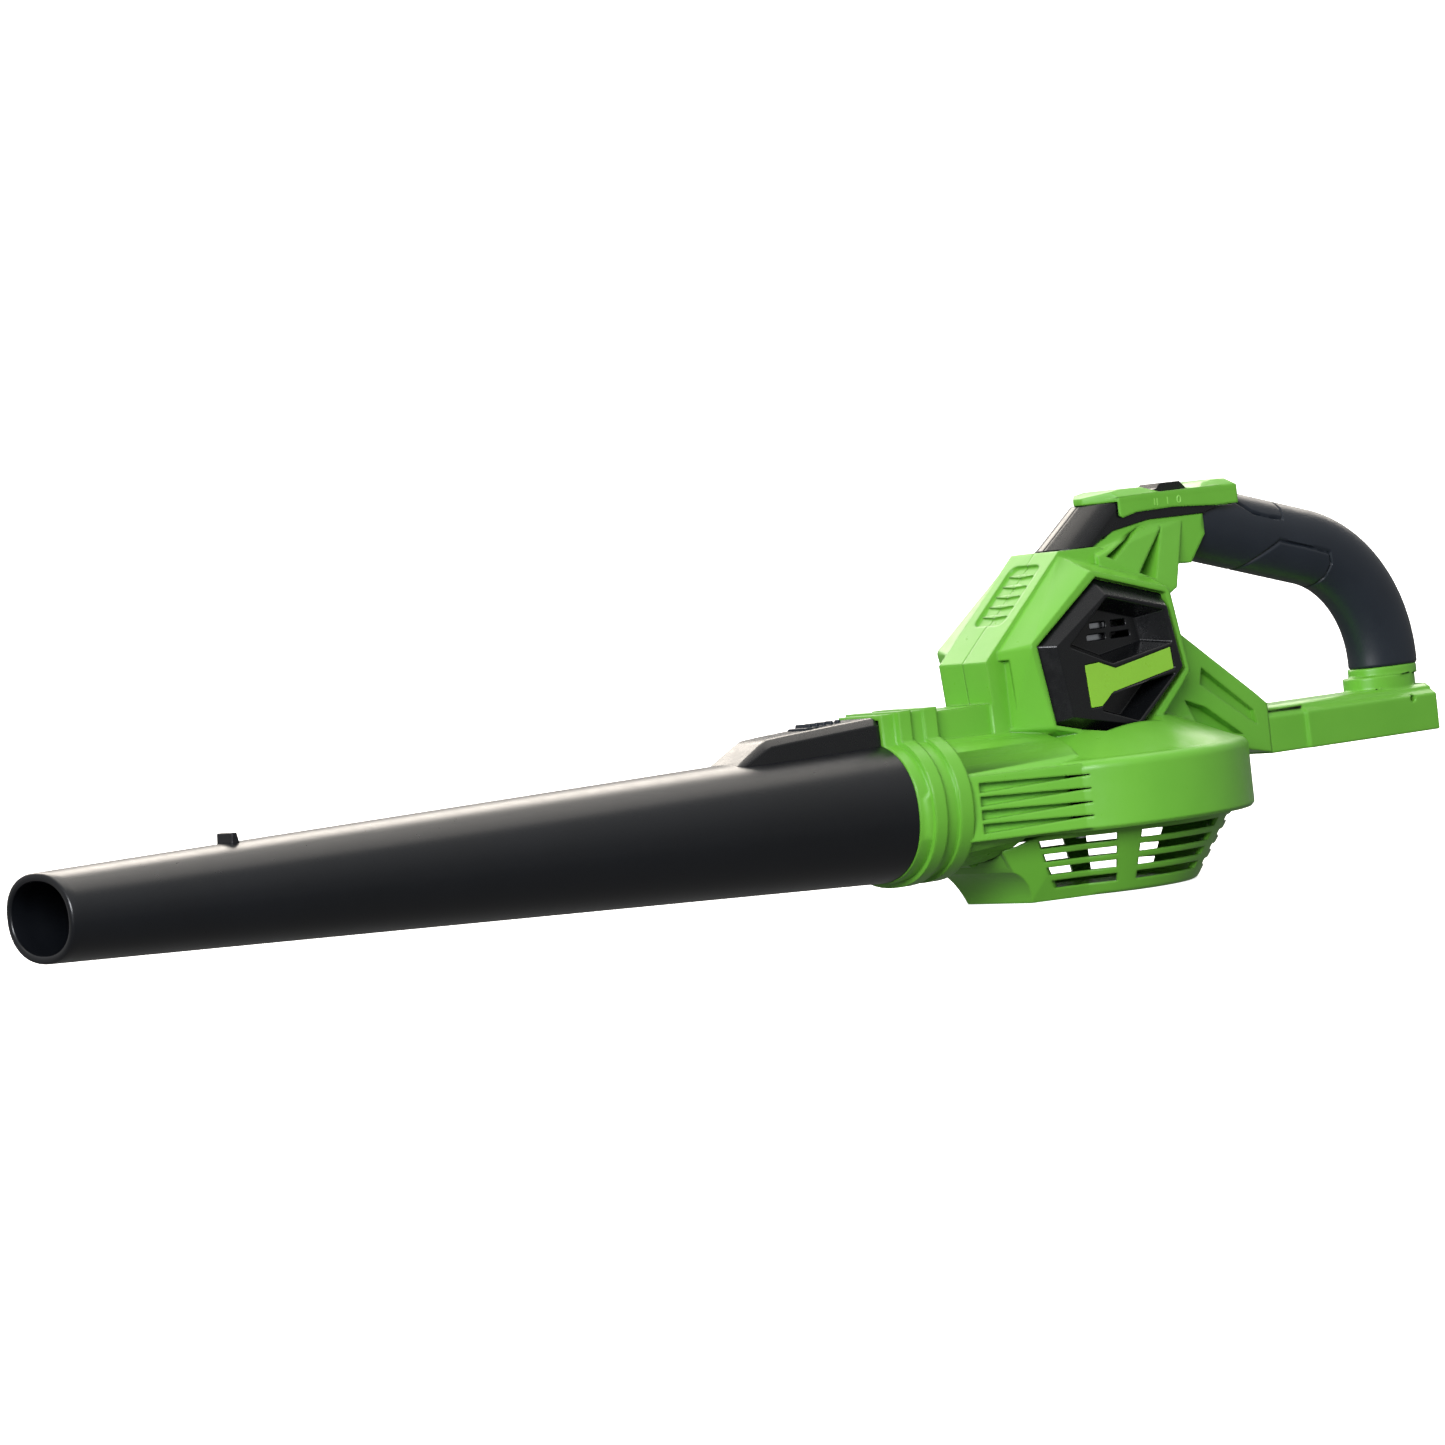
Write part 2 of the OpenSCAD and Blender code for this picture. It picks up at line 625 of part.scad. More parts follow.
// Vent slots in the upper recess: x, z and length
vent_slots = [[-12, 56, 12], [3.5, 56, 12], [-15, 49, 14], [3, 49, 15]];
module vent_panel() color(black) up() difference() {
    union() {
        hull() {
            prism_y(shifted(shrunk(panel_outline, 0.985), panel_shift),
                -panel_y - 0.1, -panel_y);
            prism_y(field_outline, -field_y, -field_y + 0.1);
        }
        prism_y(shrunk(field_outline, 0.965), -panel_y, -recess_y + 2);
    }
    for (r = [upper_recess, lower_recess]) hull() {
        prism_y(r, -field_y - 1, -field_y + 0.01);
        prism_y(shrunk(r, 0.7), -recess_y - 0.01, -recess_y);
    }
    prism_y(label_outline, -field_y - 1, -field_y + 1.2);
    // hollow at the back, so that the dish has an even wall
    difference() {
        prism_y(shrunk(field_outline, 0.9), -field_y + 3.2, -recess_y + 5);
        for (r = [upper_recess, lower_recess]) hull() {
            prism_y(shrunk(r, 1.1), -field_y, -field_y + 0.1);
            prism_y(shrunk(r, 0.86), -recess_y + 1.9, -recess_y + 2);
        }
    }
    for (s = vent_slots) translate([s[0], -field_y, s[1]]) cube([s[2], 30, 3.4]);
}
module left_vent_panel() vent_panel();
module right_vent_panel() mirror([0, 1, 0]) vent_panel();
module label_plate() color(lime) up()
    prism_y(shrunk(label_outline, 0.98), -field_y + 0.2, -field_y + 1.2);
module left_label_plate() label_plate();
module right_label_plate() mirror([0, 1, 0]) label_plate();

// ---------- neck covers, switch and grip ----------
neck_half = 20;
module neck_cover() color(black) left_half() difference() {
    up() difference() {
        union() {
            hull() {
                translate([4, 0, 104.05]) cylinder(r = neck_half, h = 0.1, $fn = 48);
                translate([34, 0, 128.9]) cylinder(r = neck_half - 1, h = 0.1, $fn = 48);
            }
            prism_y([[10, 105.4], [25, 112], [52.7, 116.4], [97, 116.4], [108, 119], [108, 129],
                [35, 129]], -19, 0);
        }
        prism_y([[4, 98], [8, 104.3], [25, 112.05], [52.7, 116.45], [97, 116.45], [97, 90]], -30, 1);
        // room for the switch, and slot for the knob's stem
        translate([46, -16, 100]) cube([60, 16.1, 27]);
        stem_slot();
    }
    handle_cut();
}
module left_neck_cover() neck_cover();
module right_neck_cover() mirror([0, 1, 0]) neck_cover();

cover_half = 21;
cover_floor = 131.6;                         // floor of the knob's channel
cover_side = [[0, 129.1], [23, 124.2], [32, 119.2], [43, 121.7], [72, 122.4], [106, 120.5],
    [124, 120.5], [124, 131], [110, 132.5], [50, 132.5], [0, 131]];
front_hump = [[0, 129.2], [6, 131.6], [22, 134.6], [34, 136.8], [52, 136.6], [62, 132.6], [62, 129.2]];
rear_hump = [[94, 129.2], [94, 132.6], [101, 135.6], [112, 136.6], [119, 136.2],
    [124, 131.5], [124, 129.2]];
knob_x = 78;                                 // middle of the knob at its off setting
knob_l = 30;
knob_half = 9.5;
switch_travel = 2 * switch_step;
module stem_slot() {
    translate([knob_x - switch_travel - 4 - gap, -3 - gap, 100])
        cube([switch_travel + 8 + 2 * gap, 6 + 2 * gap, 60]);
}
// The cover seen from above, peaked at the front
cover_plan = [[15, -4], [30, -cover_half], [124.5, -cover_half], [124.5, cover_half],
    [30, cover_half], [15, 4]];
module cover_outer() intersection() {
    union() {
        for (hump = [front_hump, rear_hump]) hull() {
            prism_y(hump, -cover_half + 5, cover_half - 5);
            intersection() {
                prism_y(hump, -cover_half, cover_half);
                translate([-big, -big, 100]) cube([2 * big, 2 * big, 32]);
            }
        }
        difference() {
            prism_y(cover_side, -cover_half, cover_half);
            translate([-big, -neck_half, 100]) cube([2 * big, 2 * neck_half, 29.2]);
        }
    }
    translate([0, 0, 100]) linear_extrude(60) polygon(cover_plan);
}
module switch_cover() color(green) difference() {
    up() difference() {
        cover_outer();
        // channel for the knob and slot for its stem
        translate([knob_x - switch_travel - knob_l / 2 - 1, -knob_half - gap, cover_floor])
            cube([switch_travel + knob_l + 2, 2 * (knob_half + gap), 20]);
        stem_slot();
    }
    handle_cut();
}
module switch_knob() color(black) up() {
    prism_y([[63, cover_floor + 0.3], [63, 133.2], [70, 134.6], [73, 137.6], [88.5, 137.6],
        [93, 133.4], [93, cover_floor + 0.3]], -knob_half, knob_half);
    translate([knob_x - 4, -3, 126.9]) cube([8, 6, 6]);
}
slider_top = 126.9;
module switch_slider() color("white") up()
    translate([knob_x - 7, -6, 123.6]) cube([14, 12, slider_top - 123.6]);
module switch_body() color("dimgray") up() difference() {
    translate([49, -switch_y, 109.4]) cube([40, 2 * switch_y, 13.8]);
    translate([53, -3, 119]) cube([32, 6, 10]);
}
module grip() color(rubber) difference() {
    handle_tube(grip_a, grip_b, grip_start, foot_z);
    handle_tube(core_a + 0.15, core_b + 0.15, grip_start - 1, foot_z - 1);
    // rebate under the rear of the switch cover
    up() translate([0, -30, 119.9]) cube([124.4, 60, 40]);
}

// ---------- battery terminals ----------
module battery_terminal_block() color(black) up()
    translate([bay_x0, -bay_half + 1, rail_bottom + 1]) cube([8, 2 * bay_half - 2, 9.8]);
module battery_terminals() color("goldenrod") up() for (y = [-12, -4, 4, 12])
    translate([bay_x0 + 8, y - 0.5, rail_bottom + 3]) cube([10, 1, 6]);

// ---------- motor ----------
plate_z = head_z - 2;
plate_r = motor_r + 1.5;
can_z = head_z + 1;
can_h = 58;
cap_h = 10;
can_top = can_z + can_h;
module ring(r0, r1, z, h) {
    translate([0, 0, z]) difference() {
        cylinder(r = r1, h = h, $fn = fine);
        translate([0, 0, -1]) cylinder(r = r0, h = h + 2, $fn = fine);
    }
}
mount_pcd = 32;
module at_mounts() { for (a = [0, 180]) rotate([0, 0, a]) translate([mount_pcd / 2, 0, 0]) children(); }
module motor_plate() color("silver") difference() {
    ring(shaft_r + 8, plate_r, plate_z, can_z - plate_z);
    at_mounts() translate([0, 0, plate_z - 1]) cylinder(r = 2.1, h = 10, $fn = 24);
}
module motor_can() color("silver") difference() {
    union() {
        ring(motor_r - 1.6, motor_r, can_z, can_h);
        ring(shaft_r + 6.5, motor_r, can_z, 2);
        ring(shaft_r + 6.5, shaft_r + 8, can_z, 7);
    }
    at_mounts() translate([0, 0, can_z - 1]) cylinder(r = 2, h = 6, $fn = 24);
}
module motor_magnets() color("dimgray") for (a = [10, 190]) rotate([0, 0, a])
    translate([0, 0, can_z + 9]) rotate_extrude(angle = 160, $fn = fine)
    translate([motor_r - 8, 0]) square([6.3, 38]);
module motor_end_cap() color(black) difference() {
    union() {
        ring(shaft_r + 6.5, motor_r, can_top, 3);
        ring(shaft_r + 6.5, shaft_r + 9, can_top, cap_h);
    }
    for (a = [45:90:315]) rotate([0, 0, a]) translate([19, 0, can_top - 1]) cylinder(r = 3, h = 6, $fn = 24);
}
module motor_brushes() color("dimgray") for (s = [-1, 1])
    translate([0, s * (8.4 + 5), can_top - 7]) translate([-3, -5, 0]) cube([6, 10, 6.9]);
module lower_bearing() color("silver") ring(shaft_r + running, shaft_r + 6.5, can_z + 0.5, 6);
module upper_bearing() color("silver") ring(shaft_r + running, shaft_r + 6.5, can_top + 2, 6);
shaft_z0 = cage_h + 2;
fan_z = can_top + cap_h + 1;
fan_r = nose_half - wall - 1.2;              // the motor's own cooling fan turns inside the nose
module motor_shaft() color("silver")
    translate([0, 0, shaft_z0]) cylinder(r = shaft_r, h = fan_z + 10 - shaft_z0, $fn = 48);
module armature() color("#8a6a3a") union() {
    for (k = [0:4]) rotate([0, 0, k * 72]) difference() {
        translate([0, 0, can_z + 12]) rotate_extrude(angle = 50, $fn = fine)
            translate([shaft_r + 4, 0]) square([motor_r - 9.5 - shaft_r - 4, 34]);
    }
    ring(shaft_r, shaft_r + 4.5, can_z + 12, 34);
}
module commutator() color("#b87333") ring(shaft_r, 8, can_top - 8, 8.5);
module cooling_fan() color(black) {
    ring(shaft_r, 8, fan_z, 8);
    ring(8, fan_r, fan_z, 1.6);
    for (k = [0:8]) rotate([0, 0, k * 40])
        translate([7.5, -0.8, fan_z]) cube([fan_r - 8, 1.6, 8]);
}
hub_z = cage_h + 8;
plate_top = drum_top - wall - 4;
module impeller() color("#2b2f36") {
    ring(shaft_r, 10, hub_z, plate_top - hub_z);
    ring(10, impeller_r, plate_top - 2.2, 2.2);
    ring(54, impeller_r, hub_z, 1.8);
    for (k = [0:blades - 1]) rotate([0, 0, 360 * k / blades]) translate([0, 0, hub_z + 1])
        linear_extrude(plate_top - hub_z - 2) polygon(concat(
            [for (i = [0:6]) let (r = 30 + (impeller_r - 30.5) * i / 6, a = 30 * i / 6)
                r * [cos(a), sin(a)]],
            [for (i = [6:-1:0]) let (r = 30 + (impeller_r - 30.5) * i / 6, a = 30 * i / 6 + 2.6 - i * 0.15)
                r * [cos(a), sin(a)]]));
}
module impeller_washer() color("silver") ring(shaft_r, 8.5, hub_z - 1.2, 1.2);
module impeller_nut() color("silver") translate([0, 0, hub_z - 6.2]) difference() {
    cylinder(r = 5.8, h = 5, $fn = 6);
    translate([0, 0, -1]) cylinder(r = shaft_r, h = 7, $fn = 48);
}

// ---------- electrics and fasteners ----------
module controller_board() color("#1f5a2e") up() {
    translate([board_x - 0.8, -17, 12]) cube([1.6, 34, 40]);
    translate([board_x + 0.8, -12, 22]) cube([3.5, 10, 12]);
    translate([board_x + 0.8, 3, 26]) cube([5, 7, 16]);
}
lead_r = 1.1;
module motor_leads() color("firebrick") for (y = [-1.3, 1.3])
    bar([60, head_z + 109.4 - lead_r], [board_x + 0.5, way_mid[1] + lead_r], lead_r, y);
module battery_leads() color("black") for (y = [-1.3, 1.3])
    bar([board_x + 2, head_z + 19], [bay_x0, head_z - 17.5], lead_r, y);
module housing_screws() color("silver") for (p = screw_places) {
    rod_y(p[0], p[1], screw_r - 0.02, -12, 10.1);
    rod_y(p[0], p[1], 3.2, 10.05, 12.6);
}
module motor_screws() color("silver") at_mounts() {
    translate([0, 0, plate_z - 2.4]) cylinder(r = 3.2, h = 2.4, $fn = 32);
    translate([0, 0, plate_z - 0.5]) cylinder(r = 1.98, h = 5, $fn = 32);
}

left_housing();
right_housing();
battery_rail();
left_handle_core();
right_handle_core();
intake_cage();
inlet_ring();
nozzle_tube();
latch_button();
latch_spring();
left_vent_panel();
right_vent_panel();
left_label_plate();
right_label_plate();
left_neck_cover();
right_neck_cover();
switch_cover();
switch_knob();
switch_slider();
switch_body();
grip();
battery_terminal_block();
battery_terminals();
motor_plate();
motor_can();
motor_magnets();
motor_end_cap();
motor_brushes();
lower_bearing();
upper_bearing();
motor_shaft();
armature();
commutator();
cooling_fan();
impeller();
impeller_washer();
impeller_nut();
controller_board();
motor_leads();
battery_leads();
housing_screws();
motor_screws();
cage_screws();
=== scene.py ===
# %% [markdown]
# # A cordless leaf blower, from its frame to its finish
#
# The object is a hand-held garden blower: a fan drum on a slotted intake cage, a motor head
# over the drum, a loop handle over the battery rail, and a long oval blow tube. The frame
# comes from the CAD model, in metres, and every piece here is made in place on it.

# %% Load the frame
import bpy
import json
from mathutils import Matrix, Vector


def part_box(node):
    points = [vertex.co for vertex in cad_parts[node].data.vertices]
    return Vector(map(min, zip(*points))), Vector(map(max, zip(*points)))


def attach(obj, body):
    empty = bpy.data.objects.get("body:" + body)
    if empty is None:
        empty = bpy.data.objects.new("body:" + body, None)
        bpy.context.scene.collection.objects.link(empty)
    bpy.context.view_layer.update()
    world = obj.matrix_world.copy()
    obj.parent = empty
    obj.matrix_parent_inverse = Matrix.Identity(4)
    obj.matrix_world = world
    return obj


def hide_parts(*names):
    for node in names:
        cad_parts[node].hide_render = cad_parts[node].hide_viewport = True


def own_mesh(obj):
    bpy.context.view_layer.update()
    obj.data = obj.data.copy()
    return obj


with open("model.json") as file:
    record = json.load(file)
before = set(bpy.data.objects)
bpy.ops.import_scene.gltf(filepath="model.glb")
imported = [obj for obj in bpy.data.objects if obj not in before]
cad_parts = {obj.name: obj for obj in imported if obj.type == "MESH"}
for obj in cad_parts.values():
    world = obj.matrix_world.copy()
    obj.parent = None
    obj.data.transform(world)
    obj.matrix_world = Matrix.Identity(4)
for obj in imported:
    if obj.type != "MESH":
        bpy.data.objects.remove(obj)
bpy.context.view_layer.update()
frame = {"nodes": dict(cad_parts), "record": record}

import json
import math
import bmesh
import bpy
import numpy as np
from mathutils import Matrix, Vector

MM = 0.001
SOFT_EDGE_DEGREES = 24          # edges that turn more than this get a radius

# %% [markdown]
# ## Helpers for finishes
#
# A colour given here is an sRGB value, while the shader works in linear light, so one
# function turns it over. Building a material by hand means many nodes, so one small function
# adds a node, sets its inputs and links it, which keeps each finish readable as a recipe.

# %% Colour and node helpers
def linear(code):
    """Each sRGB channel c in 0..1 becomes c / 12.92 when small, and otherwise
    ((c + 0.055) / 1.055) to the power 2.4."""
    c = np.array([int(code[i:i + 2], 16) for i in (1, 3, 5)]) / 255
    return (*np.where(c <= 0.04045, c / 12.92, ((c + 0.055) / 1.055) ** 2.4).tolist(), 1.0)


def add(tree, kind, inputs=None, **settings):
    """Adds a node of a kind. An input is a value, or a pair of a node and its output's name."""
    node = tree.nodes.new("ShaderNode" + kind)
    for key, value in settings.items():
        setattr(node, key, value)
    for key, value in (inputs or {}).items():
        if isinstance(value, tuple) and isinstance(value[0], bpy.types.Node):
            tree.links.new(value[0].outputs[value[1]], node.inputs[key])
        else:
            node.inputs[key].default_value = value
    return node


print("mid grey in linear light", round(linear("#808080")[0], 3))

# %% [markdown]
# ## Moulded plastics
#
# Every shell of the blower is injection moulded. The tool's steel is spark eroded, so the
# skin has a fine pebble of about 0.3 mm that spreads the highlight, and the colour drifts a
# little where the melt flowed. One recipe takes the colour, the gloss and the size of the
# pebble. The grain of the real skin is finer than a render can hold, so it is drawn two to
# three times as coarse, which keeps the satin look.

# %% Recipe for a moulded skin
DRIFT_MM, SCUFF_MM = 60, 9      # sizes of the colour's drift and of the scuffs
PLASTIC_IOR = 1.5


def moulded(name, colour, dark, rough, pebble_mm, depth, coat=0.0, scuff=0.06, edge_mm=0.0):
    """Colour drifts between two tones over 60 mm; roughness moves with fine scuffs;
    the bump is a pebble of the given size, worked out as one noise cycle per pebble; and where
    edge_mm is given, the light runs round every edge as if it had that radius."""
    made = bpy.data.materials.new(name)
    made.use_nodes = True
    tree = made.node_tree
    shader = tree.nodes["Principled BSDF"]
    place = add(tree, "TexCoord")
    drift = add(tree, "TexNoise", {"Vector": (place, "Object"), "Scale": 1 / (DRIFT_MM * MM),
                                   "Detail": 3.0})
    tone = add(tree, "ValToRGB", {"Fac": (drift, "Fac")})
    for stop, at, shade in zip(tone.color_ramp.elements, (0.3, 0.7), (dark, colour)):
        stop.position, stop.color = at, linear(shade)
    marks = add(tree, "TexNoise", {"Vector": (place, "Object"), "Scale": 1 / (SCUFF_MM * MM),
                                   "Detail": 6.0, "Roughness": 0.7})
    gloss = add(tree, "MapRange", {"Value": (marks, "Fac"), "From Min": 0.3, "From Max": 0.7,
                                   "To Min": rough - scuff, "To Max": rough + scuff})
    pebble = add(tree, "TexNoise", {"Vector": (place, "Object"), "Scale": 1 / (pebble_mm * MM),
                                    "Detail": 2.0})
    skin = add(tree, "Bump", {"Height": (pebble, "Fac"), "Strength": 0.5, "Distance": depth * MM})
    if edge_mm:
        edge = add(tree, "Bevel", {"Radius": edge_mm * MM}, samples=4)
        tree.links.new(edge.outputs["Normal"], skin.inputs["Normal"])
    tree.links.new(tone.outputs["Color"], shader.inputs["Base Color"])
    tree.links.new(gloss.outputs["Result"], shader.inputs["Roughness"])
    tree.links.new(skin.outputs["Normal"], shader.inputs["Normal"])
    shader.inputs["IOR"].default_value = PLASTIC_IOR
    shader.inputs["Coat Weight"].default_value = coat
    shader.inputs["Coat Roughness"].default_value = 0.2
    return made


green_abs = moulded("abs_green_spark_eroded", "#6BB138", "#63A932", 0.33, 0.8, 0.03, edge_mm=2.2)
black_abs = moulded("abs_black_satin", "#0F1012", "#0B0C0E", 0.27, 0.8, 0.03)
tube_pp = moulded("polypropylene_black_tube", "#0E1014", "#0B0D10", 0.3, 1.3, 0.025, scuff=0.03)
grip_tpe = moulded("thermoplastic_elastomer_grip", "#1D242D", "#171D25", 0.42, 0.9, 0.08,
                   scuff=0.05)
knob_nylon = moulded("nylon_black_switch", "#17181B", "#111215", 0.38, 0.7, 0.03)
# the marks are the cover's own plastic; their lighter green is a painted highlight for the light
# their edges catch
mark_green_painted_highlight = moulded("abs_green_mark_painted_highlight", "#8CCB5C", "#82C252", 0.38, 0.6, 0.03)
lime_film = moulded("printed_film_lime", "#8CC53A", "#84BB34", 0.3, 1.5, 0.01, coat=0.3)
fan_nylon = moulded("glass_filled_nylon_impeller", "#26292E", "#1E2125", 0.5, 0.9, 0.06)
lead_pvc = moulded("pvc_lead_insulation", "#8E1E1C", "#7A1715", 0.4, 0.5, 0.02)
board_resin = moulded("circuit_board_epoxy", "#1F6A38", "#175228", 0.35, 2.5, 0.03, coat=0.3)
print("moulded finishes", len(bpy.data.materials))

# %% [markdown]
# ## Metals inside
#
# The motor shows through the vent slots, so its metals are worth a finish: drawn steel has
# fine turning lines round it, zinc plating is cloudy, and the magnets are sintered ferrite,
# dull and dark. A metal keeps the default IOR and takes its look from colour and roughness.

# %% Recipe for a metal
CLOUD_MM = 6
WAVE_PERIOD = 0.314             # a wave texture of scale s repeats every 0.314 / s metres


def metal(name, colour, rough, line_mm, metallic=1.0):
    """Turning marks stacked along Z, one every line_mm, and cloudy roughness over CLOUD_MM."""
    made = bpy.data.materials.new(name)
    made.use_nodes = True
    tree = made.node_tree
    shader = tree.nodes["Principled BSDF"]
    place = add(tree, "TexCoord")
    cloud = add(tree, "TexNoise", {"Vector": (place, "Object"), "Scale": 1 / (CLOUD_MM * MM),
                                   "Detail": 4.0})
    gloss = add(tree, "MapRange", {"Value": (cloud, "Fac"), "To Min": rough - 0.1,
                                   "To Max": rough + 0.1})
    lines = add(tree, "TexWave", {"Vector": (place, "Object"), "Distortion": 1.0,
                                  "Scale": WAVE_PERIOD / (line_mm * MM)}, bands_direction="Z")
    cut = add(tree, "Bump", {"Height": (lines, "Fac"), "Strength": 0.2, "Distance": 0.05 * MM})
    tree.links.new(gloss.outputs["Result"], shader.inputs["Roughness"])
    tree.links.new(cut.outputs["Normal"], shader.inputs["Normal"])
    shader.inputs["Base Color"].default_value = linear(colour)
    shader.inputs["Metallic"].default_value = metallic
    return made


drawn_steel = metal("drawn_steel_can", "#B9BCC0", 0.32, 1.2)
zinc_steel = metal("zinc_plated_steel", "#C4C6C8", 0.38, 0.8)
cast_aluminium = metal("cast_aluminium_plate", "#AEB1B4", 0.45, 1.5)
brass_contact = metal("brass_contact", "#C9A24A", 0.3, 0.8)
copper_bar = metal("copper_segment", "#B56A3C", 0.35, 0.8)
ferrite = metal("sintered_ferrite", "#34363A", 0.6, 1.5, metallic=0.0)

finish_of_slot = {"green_abs": green_abs, "black_plastic": black_abs, "lime_label": lime_film,
                  "soft_grip": grip_tpe, "switch_nylon": knob_nylon,
                  "contact_brass": brass_contact, "motor_steel": drawn_steel,
                  "zinc_steel": zinc_steel, "cast_aluminium": cast_aluminium,
                  "ferrite": ferrite, "copper": copper_bar, "circuit_board": board_resin,
                  "lead_insulation": lead_pvc}
slot_of_node = {part["node"]: part["material_slot"] for part in frame["record"]["subparts"]}
for node, piece in frame["nodes"].items():
    piece.data.materials.clear()
    piece.data.materials.append(finish_of_slot[slot_of_node[node]])
frame["nodes"]["impeller"].data.materials[0] = fan_nylon
frame["nodes"]["nozzle_tube"].data.materials[0] = tube_pp
print("finished nodes", len(frame["nodes"]))

# %% [markdown]
# ## Rounded edges on the moulded shells
#
# A mould leaves no knife edge: every rib and corner has a radius of half a millimetre or
# more, and that small curve catches the light, which is what tells the eye it is plastic.
# The CAD nodes have sharp edges, so a copy of each shell is merged, its flat triangles are
# joined, and the edges are rounded. Rebuilding the shells by hand would lose the fit, and a
# bevel on a copy keeps every face where the CAD has it. The housings and the cage have many
# very short edges that a bevel tears, so their edges are rounded in the light by the finish.

# %% Copy a shell and round its edges
def meshed(piece, smooth_angle):
    """Replaces the piece's mesh by its mesh after all modifiers, sharp past the angle."""
    bpy.context.view_layer.update()
    settled = piece.evaluated_get(bpy.context.evaluated_depsgraph_get())
    done = bpy.data.meshes.new_from_object(settled)
    piece.modifiers.clear()
    old, piece.data = piece.data, done
    bpy.data.meshes.remove(old)
    done.shade_smooth()
    done.set_sharp_from_angle(angle=math.radians(smooth_angle))
    return piece


def rounded_copy(node, radius_mm, body, smooth=38):
    """Copy of a CAD node: doubles merged, flat triangles joined, and edges that turn by more
    than SOFT_EDGE_DEGREES bevelled. With no radius the mesh keeps its edges."""
    source = frame["nodes"][node]
    piece = bpy.data.objects.new(node + "_shell", source.data.copy())
    bpy.context.scene.collection.objects.link(piece)
    work = bmesh.new()
    work.from_mesh(piece.data)
    bmesh.ops.remove_doubles(work, verts=work.verts, dist=0.004 * MM)
    bmesh.ops.dissolve_degenerate(work, edges=work.edges, dist=0.02 * MM)
    bmesh.ops.dissolve_limit(work, angle_limit=math.radians(0.8), verts=work.verts,
                             edges=work.edges)
    work.to_mesh(piece.data)
    work.free()
    if radius_mm:
        bevel = piece.modifiers.new("mould_radius", "BEVEL")
        bevel.width, bevel.segments = radius_mm * MM, 3
        bevel.limit_method, bevel.angle_limit = "ANGLE", math.radians(SOFT_EDGE_DEGREES)
        bevel.use_clamp_overlap = False
        bevel.miter_outer = "MITER_ARC"
    meshed(piece, smooth)
    shading = piece.modifiers.new("flat_faces_stay_flat", "WEIGHTED_NORMAL")
    shading.keep_sharp = True
    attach(piece, body)
    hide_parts(node)
    print(node, "faces", len(piece.data.polygons))
    return piece


for node in ("left_housing", "right_housing", "intake_cage"):
    rounded_copy(node, 0, "housing", smooth=16)
for node, radius in (("battery_rail", 0.9), ("left_vent_panel", 0.9), ("right_vent_panel", 0.9),
                     ("left_neck_cover", 0.8), ("right_neck_cover", 0.8), ("switch_cover", 0.4),
                     ("left_label_plate", 0.25), ("right_label_plate", 0.25)):
    rounded_copy(node, radius, "housing")
rounded_copy("switch_knob", 0.3, "switch")

# %% [markdown]
# ## Surfaces on a grid
#
# The new pieces are surfaces of two parameters: one runs along the piece and one runs round
# it. All points are worked out at once as arrays, and the grid becomes quads. A shape made
# this way stays smooth at any size, and its formula can be read, which a sculpted mesh does
# not offer.

# %% From a grid of points to a piece
def signed_volume(mesh):
    """Sum of a . (b x c) / 6 over the triangles: positive when the faces point outwards."""
    mesh.calc_loop_triangles()
    corner = np.empty(len(mesh.vertices) * 3)
    mesh.vertices.foreach_get("co", corner)
    turn = np.empty(len(mesh.loop_triangles) * 3, dtype=np.int32)
    mesh.loop_triangles.foreach_get("vertices", turn)
    a, b, c = corner.reshape(-1, 3)[turn.reshape(-1, 3)].transpose(1, 0, 2)
    return float((a * np.cross(b, c)).sum() / 6)


def grid_piece(name, points, finish, body, along=False, smooth=40):
    """Rows of closed rings in millimetres become quads. The ends are joined to each other
    when along is set, and closed by caps when it isn't."""
    rows, around = points.shape[:2]
    index = np.arange(rows * around).reshape(rows, around)
    index = np.concatenate([index, index[:, :1]], axis=1)
    if along:
        index = np.concatenate([index, index[:1]], axis=0)
    quads = np.stack([index[:-1, :-1], index[:-1, 1:], index[1:, 1:], index[1:, :-1]], axis=-1)
    faces = quads.reshape(-1, 4).tolist()
    if not along:
        faces += [index[0, :-1][::-1].tolist(), index[-1, :-1].tolist()]
    mesh = bpy.data.meshes.new(name)
    mesh.from_pydata((points.reshape(-1, 3) * MM).tolist(), [], faces)
    mesh.validate()
    if signed_volume(mesh) < 0:
        mesh.flip_normals()
    mesh.shade_smooth()
    mesh.set_sharp_from_angle(angle=math.radians(smooth))
    mesh.materials.append(finish)
    piece = bpy.data.objects.new(name, mesh)
    bpy.context.scene.collection.objects.link(piece)
    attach(piece, body)
    return piece


def oval(half_wide, half_high, turn, squareness=0.9):
    """y = a sign(cos t) |cos t|^e and z = b sign(sin t) |sin t|^e, which is a little squarer
    than an ellipse for e below 1."""
    c, s = np.cos(turn), np.sin(turn)
    return (half_wide * np.sign(c) * np.abs(c) ** squareness,
            half_high * np.sign(s) * np.abs(s) ** squareness)


def prism(outline, y0, y1, axis="y"):
    """Two rings of one outline: in X and Z at the depths y0 and y1, or, for the axis z, in X
    and Y at two heights."""
    flat = np.array(outline, dtype=float)
    rings = []
    for depth in (y0, y1):
        level = np.full(len(flat), depth)
        rings.append(np.stack([flat[:, 0], level, flat[:, 1]] if axis == "y"
                              else [flat[:, 0], flat[:, 1], level], axis=-1))
    return np.stack(rings)


def softened(piece, radius_mm, segments=3, smooth=38):
    """Rounds the edges of a new piece and keeps its flat faces flat."""
    bevel = piece.modifiers.new("radius", "BEVEL")
    bevel.width, bevel.segments, bevel.limit_method = radius_mm * MM, segments, "ANGLE"
    bevel.angle_limit = math.radians(SOFT_EDGE_DEGREES)
    meshed(piece, smooth)
    piece.modifiers.new("flat_faces_stay_flat", "WEIGHTED_NORMAL").keep_sharp = True
    return piece


